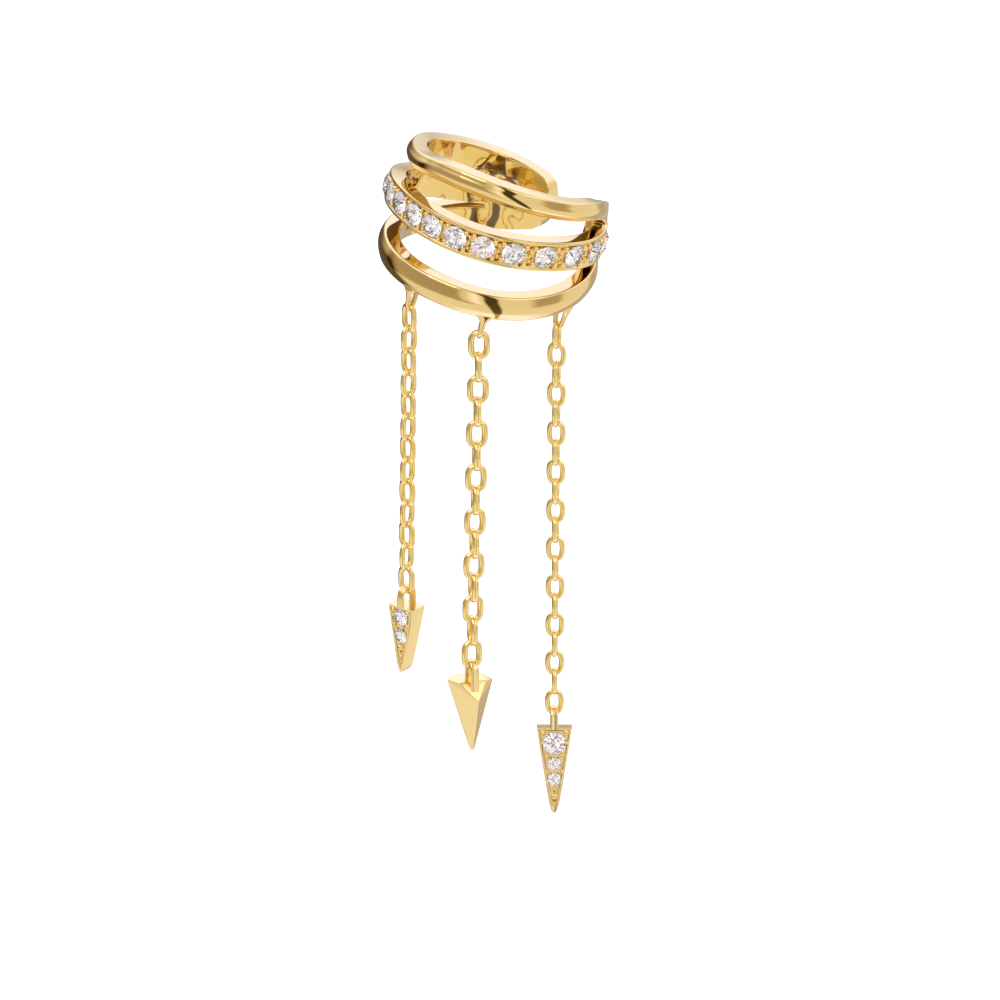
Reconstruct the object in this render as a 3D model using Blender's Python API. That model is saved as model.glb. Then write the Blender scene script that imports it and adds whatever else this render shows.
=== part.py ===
"""An ear cuff: three fanned bands cast in one piece, a row of set stones, and three spikes on cable chains.

Metres, +Z up. Azimuth 0 looks along +Y, with +X to the right. The origin is the middle of the cuff's hollow,
where the edge of the ear passes through it. Angles round the cuff run from +X through the front, which is -90.
"""

import math

import bmesh
import bpy
import numpy as np
from mathutils import Matrix, Vector

MM = 0.001

# The cuff as it sits on the ear: its axis leans to the right and its back is raised.
ROLL = math.radians(12)
PITCH = math.radians(7)

# The casting.
CUFF_RADIUS = 5.85 * MM
FAN = 3.2 * MM
WALL = 0.85 * MM
DOME = 0.26 * MM
EDGE = 0.07 * MM
UPPER_FACE = 1.05 * MM
MIDDLE_FACE = 1.68 * MM
LOWER_FACE = 1.36 * MM
RAIL = 0.23 * MM
RAIL_SLOPE = 0.02 * MM
CHANNEL_DEPTH = 0.12 * MM
CORNER = 0.5 * MM
CUFF_START = 9
CUFF_END = -308
BAR_START = -6
BAR_SPAN = 10
PLATE_START = -222
PLATE_SPAN = 34
STATION_STEP = 7.5

# The bands' centre lines, in shares of FAN, and the outer radii of their edges, in shares of CUFF_RADIUS.
# angle, upper height, upper radius, middle height, middle radius, lower height, lower radius
BANDS = (
    (9, 0.05, 0.945, -0.36, 0.990, -0.87, 0.980),
    (0, 0.17, 0.940, -0.32, 0.995, -0.89, 0.980),
    (-10, 0.31, 0.940, -0.27, 1.000, -0.91, 0.980),
    (-25, 0.50, 0.935, -0.18, 1.000, -0.92, 0.980),
    (-50, 0.67, 0.925, -0.06, 1.000, -0.98, 0.975),
    (-75, 0.82, 0.910, 0.00, 1.000, -1.04, 0.965),
    (-100, 0.91, 0.890, 0.03, 1.000, -1.04, 0.955),
    (-120, 0.91, 0.870, 0.05, 1.000, -1.03, 0.945),
    (-140, 0.84, 0.855, 0.05, 1.000, -1.05, 0.940),
    (-160, 0.67, 0.850, 0.03, 1.000, -1.07, 0.935),
    (-180, 0.56, 0.855, -0.08, 0.990, -1.09, 0.930),
    (-205, 0.42, 0.875, -0.30, 0.975, -1.13, 0.930),
    (-228, 0.24, 0.900, -0.49, 0.960, -1.17, 0.930),
    (-245, 0.10, 0.915, -0.57, 0.950, -1.17, 0.935),
    (-262, 0.00, 0.925, -0.59, 0.945, -1.14, 0.940),
    (-276, -0.08, 0.940, -0.59, 0.945, -1.07, 0.940),
    (-292, -0.16, 0.945, -0.57, 0.945, -0.98, 0.945),
    (-308, -0.30, 0.950, -0.54, 0.950, -0.74, 0.950),
)
UPPER_SLOT = (-3, -228)
LOWER_SLOT = (-1, -268)
SLOT_END = 5
SLOT_TRIM = 0.03 * MM
SLOT_LEAST = 0.2 * MM

# Cut stones. A seat is a stone's own outline with this clearance.
BAND_STONE = 1.24 * MM
BAND_STONE_ANGLES = (-7, -27, -46, -64.5, -82, -98, -113, -127, -140, -153, -166, -180, -195, -210)
SEAT_CLEARANCE = 0.03 * MM
SEAT_HOLE = 0.3 * MM
STONE_SIDES = 16
SEAT_SIDES = 12
GIRDLE_SINK = 0.03 * MM

# Eyelets under the lower band, and the chains that hang from them.
EYELET_WIRE = 0.28 * MM
EYELET_REACH = 1.32 * MM
EYELET_ROOT = 0.84 * MM
EYELET_BITE = 0.35 * MM
EYELET_BEND = 0.16 * MM
LINK_WIRE = 0.24 * MM
LINK_SIDES = 12
WIRE_SIDES = 5
LINK_GRIP = 0.06 * MM
LINK_GAP = 0.05 * MM

LEFT_PITCH = 1.216 * MM
LEFT_LINK_WIDTH = 1.00 * MM
MIDDLE_PITCH = 1.236 * MM
MIDDLE_LINK_WIDTH = 1.10 * MM
RIGHT_PITCH = 1.091 * MM
RIGHT_LINK_WIDTH = 0.96 * MM

# name, eyelet angle, links, pitch, link width, yaw of the first link, yaw of the last link, lean
CHAINS = (
    ("left", -134, 13, LEFT_PITCH, LEFT_LINK_WIDTH, 131, 142, 0.9),
    ("middle", -88.5, 15, MIDDLE_PITCH, MIDDLE_LINK_WIDTH, 0, 20, 1.3),
    ("right", -38, 20, RIGHT_PITCH, RIGHT_LINK_WIDTH, 72, 0, 0.15),
)

# Spikes: wedges with a triangular face, and a plain faceted one. Each hangs from a bail on its chain's last link.
BAIL_RADIUS = 0.57 * MM
BAIL_THICKNESS = 0.17 * MM
BAIL_WIDTH = 0.38 * MM
BAIL_HEIGHT = 1.12 * MM
BAIL_SLACK = 0.10 * MM
BAIL_ROOT = 0.15 * MM
FACET_BAIL_ROOT = 0.68 * MM  # the plain spike's top slopes away under its bail's front end
FACE_BORDER = 0.14 * MM
FACE_RECESS = 0.07 * MM
SEAT_FLOOR = 0.05 * MM

# Down the side of a spike: share of its height from the top, and share of its width from its middle line.
TAPER = ((0, 0.5), (0.86, 0.16), (0.95, 0.11), (1, 0.04))

# The spikes' sizes. Each stone of a face has its drop from the top and its diameter.
LEFT_WIDTH = 1.64 * MM
LEFT_HEIGHT = 3.74 * MM
LEFT_DEPTH = 1.10 * MM
LEFT_UPPER_STONE = 0.92 * MM
LEFT_UPPER_DROP = 0.60 * MM
LEFT_LOWER_STONE = 0.78 * MM
LEFT_LOWER_DROP = 1.68 * MM
LEFT_STONES = ((LEFT_UPPER_DROP, LEFT_UPPER_STONE), (LEFT_LOWER_DROP, LEFT_LOWER_STONE))
MIDDLE_WIDTH = 2.56 * MM
MIDDLE_HEIGHT = 4.10 * MM
MIDDLE_DEPTH = 2.00 * MM
RIGHT_WIDTH = 1.88 * MM
RIGHT_HEIGHT = 4.60 * MM
RIGHT_DEPTH = 1.04 * MM
RIGHT_UPPER_STONE = 1.20 * MM
RIGHT_UPPER_DROP = 0.84 * MM
RIGHT_SMALL_STONE = 0.69 * MM
RIGHT_MIDDLE_DROP = 1.95 * MM
RIGHT_LOWER_DROP = 2.78 * MM
RIGHT_STONES = (
    (RIGHT_UPPER_DROP, RIGHT_UPPER_STONE), (RIGHT_MIDDLE_DROP, RIGHT_SMALL_STONE),
    (RIGHT_LOWER_DROP, RIGHT_SMALL_STONE),
)


def clear_scene():
    for obj in list(bpy.data.objects):
        bpy.data.objects.remove(obj)


def new_collection(name):
    collection = bpy.data.collections.new(name)
    bpy.context.scene.collection.children.link(collection)
    return collection


def new_material(name, colour, metallic, roughness):
    material = bpy.data.materials.new(name)
    material.use_nodes = True
    shader = material.node_tree.nodes["Principled BSDF"]
    shader.inputs["Base Color"].default_value = (*colour, 1)
    shader.inputs["Metallic"].default_value = metallic
    shader.inputs["Roughness"].default_value = roughness
    return material


def new_object(name, bm, material, collection, parent=None):
    """An object made from a bmesh, shaded smooth but for its sharp edges."""
    mesh = bpy.data.meshes.new(name)
    bmesh.ops.recalc_face_normals(bm, faces=bm.faces)
    bm.to_mesh(mesh)
    bm.free()
    mesh.shade_smooth()
    mesh.set_sharp_from_angle(angle=math.radians(30))
    mesh.materials.append(material)
    obj = bpy.data.objects.new(name, mesh)
    collection.objects.link(obj)
    obj.parent = parent
    return obj


def as_cutter(obj):
    obj.hide_render = True
    obj.display_type = "WIRE"
    return obj


def combine(obj, other, operation):
    modifier = obj.modifiers.new(other.name, "BOOLEAN")
    modifier.operation = operation
    modifier.object = other
    modifier.solver = "EXACT"


def loft(bm, rings):
    """Adds a closed solid through rings with the same number of points, capped at both ends."""
    rows = [[bm.verts.new(point) for point in ring] for ring in rings]
    for near, far in zip(rows, rows[1:]):
        for i in range(len(near)):
            bm.faces.new((near[i - 1], near[i], far[i], far[i - 1]))
    bm.faces.new(rows[0])
    bm.faces.new(rows[-1][::-1])


def hull(bm, points):
    """Adds the convex solid round some points."""
    verts = [bm.verts.new(point) for point in points]
    made = bmesh.ops.convex_hull(bm, input=verts)
    bmesh.ops.delete(bm, geom=list(set(made["geom_interior"] + made["geom_unused"])), context="VERTS")
    flat = math.radians(1)
    bmesh.ops.dissolve_limit(bm, angle_limit=flat, verts=bm.verts, edges=bm.edges)


def circle(radius, sides, height=0.0, turn=0.0):
    angles = [2 * math.pi * (i + turn) / sides for i in range(sides)]
    return [Vector((radius * math.cos(a), radius * math.sin(a), height)) for a in angles]


def around(angle, radius, height):
    """The point of the cuff at this angle, radius and height."""
    turn = math.radians(angle)
    return Vector((radius * math.cos(turn), radius * math.sin(turn), height))


def band_value(column, angle):
    """A column of BANDS at this angle, rounded off where its rows meet."""
    rows = np.array(BANDS)[::-1]
    near = angle + np.linspace(-9, 9, 7)
    return float(np.interp(near, rows[:, 0], rows[:, column]).mean())


def smoothstep(value):
    value = min(max(value, 0.0), 1.0)
    return value * value * (3 - 2 * value)


def merge(angle):
    """How far the three faces have run together: 0 where the bands are apart, 1 on the end bar and back plate."""
    return smoothstep((angle - BAR_START) / BAR_SPAN) + smoothstep((PLATE_START - angle) / PLATE_SPAN)


def corner_cut(angle):
    """How much the rounded corners of the two free ends take off the height at this angle."""
    arc = math.radians(min(CUFF_START - angle, angle - CUFF_END)) * CUFF_RADIUS
    inside = min(arc / CORNER, 1.0)
    return CORNER * (1 - math.sqrt(1 - (1 - inside) ** 2))


def domed(face):
    """(drop from the top, stand over the edges) down a band with a rounded face."""
    return (
        (0, -EDGE), (EDGE, 0), (0.3 * face, 0.85 * DOME),
        (0.7 * face, 0.85 * DOME), (face - EDGE, 0), (face, -EDGE),
    )


def railed(face):
    """(drop from the top, stand over the edges) down the band with a channel for stones between two rails."""
    step = RAIL + RAIL_SLOPE
    return (
        (0, -EDGE), (EDGE, 0), (RAIL, 0), (step, -CHANNEL_DEPTH),
        (face - step, -CHANNEL_DEPTH), (face - RAIL, 0), (face - EDGE, 0), (face, -EDGE),
    )


def band(index, angle):
    """(face height, top, bottom, radius) of the upper, middle or lower band at this angle."""
    face = (UPPER_FACE, MIDDLE_FACE, LOWER_FACE)[index]
    middle = band_value(1 + 2 * index, angle) * FAN
    radius = band_value(2 + 2 * index, angle) * CUFF_RADIUS
    return face, middle + face / 2, middle - face / 2, radius


def cuff_section(angle):
    """The outline of the cuff's wall at this angle: down the three faces, then up the inside."""
    bands = [band(index, angle) for index in range(3)]
    outside = []
    for (face, top, _, radius), shape in zip(bands, (domed, railed, domed)):
        outside += [(radius + stand, top - drop) for drop, stand in shape(face)]
    inside = []
    for _, top, bottom, radius in bands[::-1]:
        inside += [(radius - WALL, bottom + EDGE), (radius - WALL, top - EDGE)]
    low, high = bands[2][2], bands[0][1]
    inside = [(inside[0][0] + EDGE, low), *inside, (inside[-1][0] + EDGE, high)]

    one = merge(angle)
    cut = corner_cut(angle)
    radius = sum(part[3] for part in bands) / 3
    shape = domed(high - low)
    joined_outside = np.interp(np.linspace(0, high - low, len(outside)), *zip(*shape))
    section = []
    for i, (out, height) in enumerate(outside):
        level = high - (high - low) * i / (len(outside) - 1)
        section.append((out + one * (radius + joined_outside[i] - out), height + one * (level - height)))
    for i, (out, height) in enumerate(inside):
        level = low + (high - low) * i / (len(inside) - 1)
        section.append((out, height + one * (level - height)))
    squeeze = 1 - 2 * cut / (high - low)
    centre = (high + low) / 2
    return [around(angle, out, centre + squeeze * (height - centre)) for out, height in section]


def stations(start, end, ends, step=STATION_STEP):
    """Angles from start to end, closer together over the last few degrees of both ends."""
    fine = [ends * share for share in (0, 0.06, 0.2, 0.45, 0.75)]
    count = round((start - end - 2 * ends) / step)
    middle = list(np.linspace(start - ends, end + ends, count + 1))
    return [start - gap for gap in fine] + middle + [end + gap for gap in fine[::-1]]


def slot_cutter(bm, upper, ends):
    """Adds the cutter for the gap under band number upper, with round ends."""
    start, end = ends
    rings = []
    for angle in stations(start, end, SLOT_END):
        high = band(upper, angle)[2] + SLOT_TRIM
        low = band(upper + 1, angle)[1] - SLOT_TRIM
        reach = min(min(start - angle, angle - end) / SLOT_END, 1.0)
        open_share = max(math.sqrt(1 - (1 - reach) ** 2), 0.12)
        centre = (high + low) / 2
        half = max(high - low, SLOT_LEAST) / 2 * open_share
        inner, outer = CUFF_RADIUS - 3 * WALL, CUFF_RADIUS + WALL
        rings.append([
            around(angle, inner, centre - half), around(angle, outer, centre - half),
            around(angle, outer, centre + half), around(angle, inner, centre + half),
        ])
    loft(bm, rings)


def stone_mesh(bm, radius):
    """Adds a round cut stone: a table, crown facets, a thin girdle and a pointed pavilion. Its girdle is at 0."""
    crown, girdle, pavilion = 0.32 * radius, 0.05 * radius, 0.82 * radius
    hull(bm, [
        *circle(0.58 * radius, STONE_SIDES // 2, crown + girdle),
        *circle(radius, STONE_SIDES, girdle, 0.5),
        *circle(radius, STONE_SIDES, -girdle, 0.5),
        Vector((0, 0, -pavilion)),
    ])


def seat_mesh(bm, radius, through):
    """Adds the cutter for a stone's seat: round at the girdle, then a cone, then a hole of this length."""
    seat = (radius + SEAT_CLEARANCE) / math.cos(math.pi / SEAT_SIDES)
    hole = min(SEAT_HOLE, 0.5 * radius)
    loft(bm, [
        circle(hole, SEAT_SIDES, -0.75 * radius - through),
        circle(hole, SEAT_SIDES, -0.75 * radius),
        circle(seat, SEAT_SIDES, -0.05 * radius - SEAT_CLEARANCE),
        circle(seat, SEAT_SIDES, radius),
    ])


def added(bm, build, matrix, *sizes):
    """Adds a mesh with build(bm, *sizes) and moves it by the matrix."""
    old = set(bm.verts)
    piece = bmesh.new()
    build(piece, *sizes)
    mesh = bpy.data.meshes.new("piece")
    piece.to_mesh(mesh)
    piece.free()
    bm.from_mesh(mesh)
    bpy.data.meshes.remove(mesh)
    bmesh.ops.transform(bm, matrix=matrix, verts=[vert for vert in bm.verts if vert not in old])


def band_stone_place(angle):
    """Where a stone of the band sits: its girdle just under the rails' tops, its table facing out."""
    _, top, bottom, radius = band(1, angle)
    place = Matrix.Translation(around(angle, radius - GIRDLE_SINK, (top + bottom) / 2))
    return place @ Matrix.Rotation(math.radians(angle), 4, "Z") @ Matrix.Rotation(math.pi / 2, 4, "Y")


def eyelet_mesh(bm, angle):
    """Adds an eyelet: a tapering strap down from the band's outer face and a wire back up behind it."""
    _, _, low, edge = band(2, angle)
    half = EYELET_WIRE / 2
    outer, inner = edge - half, edge - WALL + half
    middle = (outer + inner) / 2
    # radius, height, half width
    path = (
        (outer, low + EYELET_BITE, EYELET_ROOT / 2),
        (outer, low, EYELET_ROOT / 2),
        (outer - EYELET_BEND / 2, low - 0.40 * EYELET_REACH, 0.32 * EYELET_ROOT),
        (middle + EYELET_BEND, low - 0.86 * EYELET_REACH, 1.2 * half),
        (middle, low - EYELET_REACH, half),
        (middle - EYELET_BEND, low - 0.86 * EYELET_REACH, half),
        (inner, low - 0.40 * EYELET_REACH, half),
        (inner, low, half),
        (inner, low + EYELET_BITE, half),
    )
    along = Matrix.Rotation(math.radians(angle), 3, "Z")
    rings = []
    for i, (radius, height, width) in enumerate(path):
        before, after = path[max(i - 1, 0)], path[min(i + 1, len(path) - 1)]
        run = Vector((after[0] - before[0], 0, after[1] - before[1])).normalized()
        side = Vector((run.z, 0, -run.x))
        ring = []
        for point in circle(1, 8, 0, 0.5):
            ring.append(along @ (Vector((radius, 0, height)) + side * point.x * half + Vector((0, point.y * width, 0))))
        rings.append(ring)
    loft(bm, rings)


def cuff_frame(parts, cutters, tilt, gold):
    """The casting: bands, end bar, back plate and eyelets, with the slots and the stones' seats cut out."""
    bm = bmesh.new()
    loft(bm, [cuff_section(angle) for angle in stations(CUFF_START, CUFF_END, 5)])
    frame = new_object("cuff_frame", bm, gold, parts, tilt)

    bm = bmesh.new()
    slot_cutter(bm, 0, UPPER_SLOT)
    slot_cutter(bm, 1, LOWER_SLOT)
    combine(frame, as_cutter(new_object("slots", bm, gold, cutters, tilt)), "DIFFERENCE")

    bm = bmesh.new()
    for _, angle, *_ in CHAINS:
        eyelet_mesh(bm, angle)
    combine(frame, as_cutter(new_object("eyelets", bm, gold, cutters, tilt)), "UNION")

    bm = bmesh.new()
    for angle in BAND_STONE_ANGLES:
        added(bm, seat_mesh, band_stone_place(angle), BAND_STONE / 2, WALL)
    combine(frame, as_cutter(new_object("band_seats", bm, gold, cutters, tilt)), "DIFFERENCE")


def band_stones(parts, tilt, glass):
    for number, angle in enumerate(BAND_STONE_ANGLES, 1):
        bm = bmesh.new()
        added(bm, stone_mesh, band_stone_place(angle), BAND_STONE / 2)
        new_object(f"band_stone_{number:02d}", bm, glass, parts, tilt)


def link_mesh(bm, pitch, width):
    """Adds a link that stands in the XZ plane: a ring drawn out along Z to hold the next link at this pitch."""
    wire = LINK_WIRE / 2
    stretch = (pitch - LINK_GRIP + 2 * LINK_WIRE - width) / 2
    rings = []
    for i in range(LINK_SIDES):
        turn = 2 * math.pi * (i + 0.5) / LINK_SIDES
        out = Vector((math.cos(turn), 0, math.sin(turn)))
        centre = out * (width / 2 - wire) + Vector((0, 0, math.copysign(stretch, out.z)))
        ring = [centre + (out * p.x + Vector((0, p.y, 0))) for p in circle(wire, WIRE_SIDES, 0, 0.5)]
        rings.append([bm.verts.new(point) for point in ring])
    for near, far in zip(rings, rings[1:] + rings[:1]):
        for i in range(len(near)):
            bm.faces.new((near[i - 1], near[i], far[i], far[i - 1]))


def eyelet_point(angle):
    """The middle of the eyelet's lowest wire, on the cuff as it is worn."""
    _, _, low, edge = band(2, angle)
    tilt = Matrix.Rotation(PITCH, 3, "X") @ Matrix.Rotation(ROLL, 3, "Y")
    return tilt @ around(angle, edge - WALL / 2, low - EYELET_REACH)


def link_places(angle, links, pitch, first_yaw, last_yaw, lean):
    """A matrix for each link, from the eyelet down."""
    half_inside = (pitch - LINK_GRIP) / 2
    top = eyelet_point(angle) + Vector((0, 0, EYELET_WIRE / 2 + LINK_GAP - half_inside))
    down = Vector((-math.sin(math.radians(lean)), 0, -math.cos(math.radians(lean))))
    turn = (last_yaw - first_yaw - 90 * (links - 1) + 90) % 180 - 90
    places = []
    for k in range(links):
        yaw = first_yaw + 90 * k + turn * k / (links - 1)
        places.append(Matrix.Translation(top + down * pitch * k) @ Matrix.Rotation(math.radians(yaw), 4, "Z"))
    return places


def chain(name, angle, links, pitch, width, first_yaw, last_yaw, lean, parts, cutters, gold):
    """A cable chain joined in one body, and its last link, which stays apart. It returns that link's place."""
    places = link_places(angle, links, pitch, first_yaw, last_yaw, lean)
    end = places.pop()
    end = Matrix.Translation(Vector((0, 0, -LINK_GRIP - LINK_GAP))) @ end
    bm = bmesh.new()
    for place in places[0::2]:
        added(bm, link_mesh, place, pitch, width)
    body = new_object(f"{name}_chain", bm, gold, parts)
    bm = bmesh.new()
    for place in places[1::2]:
        added(bm, link_mesh, place, pitch, width)
    combine(body, as_cutter(new_object(f"{name}_other_links", bm, gold, cutters)), "UNION")
    bm = bmesh.new()
    added(bm, link_mesh, end, pitch, width)
    new_object(f"{name}_end_link", bm, gold, parts)
    return end.translation + Vector((0, 0, -(pitch - LINK_GRIP + LINK_WIRE) / 2))


def bail_mesh(bm, foot):
    """Adds the bail: a strap bent over the axis at the origin, across X, with its two ends down to this height."""
    radius = BAIL_RADIUS - BAIL_THICKNESS / 2
    centre = LINK_WIRE / 2 + BAIL_SLACK + BAIL_THICKNESS / 2 - radius
    path = [Vector((0, -radius, foot))]
    for i in range(9):
        turn = math.pi * (1 - i / 8)
        path.append(Vector((0, radius * math.cos(turn), centre + radius * math.sin(turn))))
    path.append(Vector((0, radius, foot)))
    rings = []
    for i, point in enumerate(path):
        run = (path[min(i + 1, len(path) - 1)] - path[max(i - 1, 0)]).normalized()
        side = Vector((0, -run.z, run.y)) * BAIL_THICKNESS / 2
        across = Vector((BAIL_WIDTH / 2, 0, 0))
        rings.append([point + side + across, point - side + across, point - side - across, point + side - across])
    loft(bm, rings)


def wedge_mesh(bm, top, width, height, depth, inset=0.0):
    """Adds a wedge with its tapering face towards -Y, its outline moved in by the inset."""
    right = []
    for down, half in TAPER:
        right.append((max(half * width - inset, 0.3 * half * width), top - inset - down * (height - 3 * inset)))
    outline = right + [(-x, z) for x, z in right[::-1]]
    loft(bm, [[Vector((x, y, z)) for x, z in outline] for y in (-depth / 2, depth / 2)])


def faceted_mesh(bm, top, width, height, depth):
    """Adds the plain spike: a three-sided point with its ridge to the front and a sloping facet cut off its top."""
    half_w, half_d = width / 2, depth / 2
    hull(bm, [
        Vector((-half_w, 0.40 * half_d, top)), Vector((half_w, 0.30 * half_d, top - 0.08 * height)),
        Vector((-0.5 * half_w, 0.9 * half_d, top)), Vector((0.5 * half_w, 0.9 * half_d, top)),
        Vector((-0.60 * half_w, -0.16 * half_d, top - 0.02 * height)),
        Vector((0.60 * half_w, -0.16 * half_d, top - 0.03 * height)),
        Vector((0, -half_d, top - 0.23 * height)),
        *circle(0.33 * half_w, 8, top - 0.84 * height),
        *circle(0.22 * half_w, 8, top - 0.95 * height),
        *circle(0.07 * half_w, 8, top - height),
    ])


def face_place(top, depth, drop):
    """Where a stone of a wedge's face sits: this far under the top, with its table to the front."""
    return Matrix.Translation(Vector((0, -depth / 2, top - drop))) @ Matrix.Rotation(math.pi / 2, 4, "X")


def spike(name, axis, parts, cutters, gold, glass):
    """A spike that swings on its chain's last link, with its origin on that link's wire, and its stones."""
    yaw, lean, build, sizes, root, stones = SPIKES[name]
    place = (
        Matrix.Translation(axis)
        @ Matrix.Rotation(math.radians(yaw), 4, "Z")
        @ Matrix.Rotation(math.radians(lean), 4, "X")
    )
    top = LINK_WIRE / 2 + BAIL_SLACK + BAIL_THICKNESS - BAIL_HEIGHT
    bm = bmesh.new()
    build(bm, top, *sizes)
    body = new_object(f"{name}_spike", bm, gold, parts)
    body.matrix_world = place

    def cut_or_join(label, operation):
        tool = as_cutter(new_object(f"{name}_{label}", bm, gold, cutters))
        tool.matrix_world = place
        combine(body, tool, operation)

    if stones:
        width, height, depth = sizes
        bm = bmesh.new()
        wedge_mesh(bm, top, width, height, 2 * FACE_RECESS, FACE_BORDER)
        bmesh.ops.translate(bm, vec=Vector((0, -depth / 2, 0)), verts=bm.verts)
        cut_or_join("face", "DIFFERENCE")
        bm = bmesh.new()
        for drop, diameter in stones:
            added(bm, seat_mesh, face_place(top, depth, drop), diameter / 2, SEAT_FLOOR)
        cut_or_join("seats", "DIFFERENCE")
    bm = bmesh.new()
    bail_mesh(bm, top - root)
    cut_or_join("bail", "UNION")

    for number, (drop, diameter) in enumerate(stones, 1):
        bm = bmesh.new()
        added(bm, stone_mesh, face_place(top, sizes[2], drop), diameter / 2)
        stone = new_object(f"{name}_spike_stone_{number}", bm, glass, parts)
        stone.matrix_world = place


# name: yaw, lean of its face upwards, shape, (width, height, depth), how deep its bail is rooted, stones
SPIKES = {
    "left": (-39, 0, wedge_mesh, (LEFT_WIDTH, LEFT_HEIGHT, LEFT_DEPTH), BAIL_ROOT, LEFT_STONES),
    "middle": (20, 0, faceted_mesh, (MIDDLE_WIDTH, MIDDLE_HEIGHT, MIDDLE_DEPTH), FACET_BAIL_ROOT, ()),
    "right": (0, -14, wedge_mesh, (RIGHT_WIDTH, RIGHT_HEIGHT, RIGHT_DEPTH), BAIL_ROOT, RIGHT_STONES),
}


def main():
    clear_scene()
    parts = new_collection("ear_cuff")
    cutters = new_collection("cutters")
    gold = new_material("gold_plate", (0.92, 0.66, 0.29), 1.0, 0.12)
    glass = new_material("clear_stone", (0.93, 0.93, 0.95), 0.0, 0.03)
    tilt = bpy.data.objects.new("worn_tilt", None)
    tilt.rotation_mode = "YXZ"
    tilt.rotation_euler = (PITCH, ROLL, 0)
    parts.objects.link(tilt)

    cuff_frame(parts, cutters, tilt, gold)
    band_stones(parts, tilt, glass)
    for row in CHAINS:
        axis = chain(*row, parts, cutters, gold)
        spike(row[0], axis, parts, cutters, gold, glass)


main()
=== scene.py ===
"""Looks of the ear cuff: polished bands, cut stones with their grains, wire chains and edged spikes.

Lengths are in metres, in the CAD's frame. Angles round the cuff run from +X through the front, which is -90.
"""

import math

import bmesh
import bpy
import numpy as np
from mathutils import Matrix, Vector


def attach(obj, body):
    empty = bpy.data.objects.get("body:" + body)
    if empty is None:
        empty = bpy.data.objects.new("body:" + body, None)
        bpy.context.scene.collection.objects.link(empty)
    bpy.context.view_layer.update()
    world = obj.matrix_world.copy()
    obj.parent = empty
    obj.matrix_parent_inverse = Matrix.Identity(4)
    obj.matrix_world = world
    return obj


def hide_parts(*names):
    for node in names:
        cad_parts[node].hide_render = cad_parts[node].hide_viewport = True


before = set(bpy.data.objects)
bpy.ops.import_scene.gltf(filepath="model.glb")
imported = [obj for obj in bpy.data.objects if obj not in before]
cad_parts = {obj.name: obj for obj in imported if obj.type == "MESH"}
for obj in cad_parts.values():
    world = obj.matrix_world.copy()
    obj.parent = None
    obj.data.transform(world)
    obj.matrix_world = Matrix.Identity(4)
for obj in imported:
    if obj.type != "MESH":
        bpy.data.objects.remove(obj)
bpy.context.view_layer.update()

# The cuff: one casting in gold-plated brass that grips the edge of the ear. Three fanned bands run from
# an end bar to a back plate, and three drips on the lowest band end in eyelets. The middle band has a channel
# between two rails, and its stones' seats are cut right through.
MM = 0.001
ROLL = math.radians(12)
PITCH = math.radians(7)
TILT = Matrix.Rotation(PITCH, 4, "X") @ Matrix.Rotation(ROLL, 4, "Y")
CUFF_RADIUS = 5.85 * MM
WALL = 0.85 * MM
# the height of the upper, middle and lower band's face, and how far the plain faces and the backs are domed
FACES = (1.05 * MM, 1.68 * MM, 1.36 * MM)
DOME, BELLY = 0.17 * MM, 0.05 * MM
SOFT_EDGE, EDGE_LOOP = 0.07 * MM, 0.10 * MM
RAIL, RAIL_EDGE, RAIL_SLOPE = 0.20 * MM, 0.05 * MM, 0.03 * MM
CHANNEL_DEPTH = 0.12 * MM
CORNER = 0.65 * MM
# the casting's two ends, then where the bands run into the bar and the plate and over how many degrees
CUFF_START, CUFF_END = 9, -308
BAR_START, BAR_SPAN = -6, 10
PLATE_START, PLATE_SPAN = -222, 34
JOINED_DOME = 0.3  # the share of the joined wall over which its dome rises
BACK_TUCK = 0.6  # how far an edge is rounded at the back, as a share of the front
# the slots between the bands, in degrees, and how their ends round off and close
SLOTS = ((-3, -228), (-1, -268))
SLOT_END, SLOT_TIP, CLOSING = 5, 0.12, 2
SEAM = 0.10 * MM
ROWS = 8  # rows of points down each band
# the angles at which the cage has points, closer together at the slots' ends
NEAR_BAR = (9, 8.5, 7.4, 5.6, 3.6, 1.6, 0.2, -1, -1.4, -2.2, -3, -3.4, -4.1, -5.2, -6.6, -8.6)
ALONG_BANDS = np.linspace(-11, -219, 36)
NEAR_PLATE = (
    -222.5, -224.9, -226.6, -227.6, -228, -229.2, -232, -237, -243, -249, -255, -260, -263.2, -265.4,
    -266.9, -267.65, -268, -269.2, -272, -277, -283, -289, -295, -300, -304, -306.4, -307.5, -308,
)
FAN = 3.2 * MM
SMOOTHING = 9  # degrees either way over which the table is averaged
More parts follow.
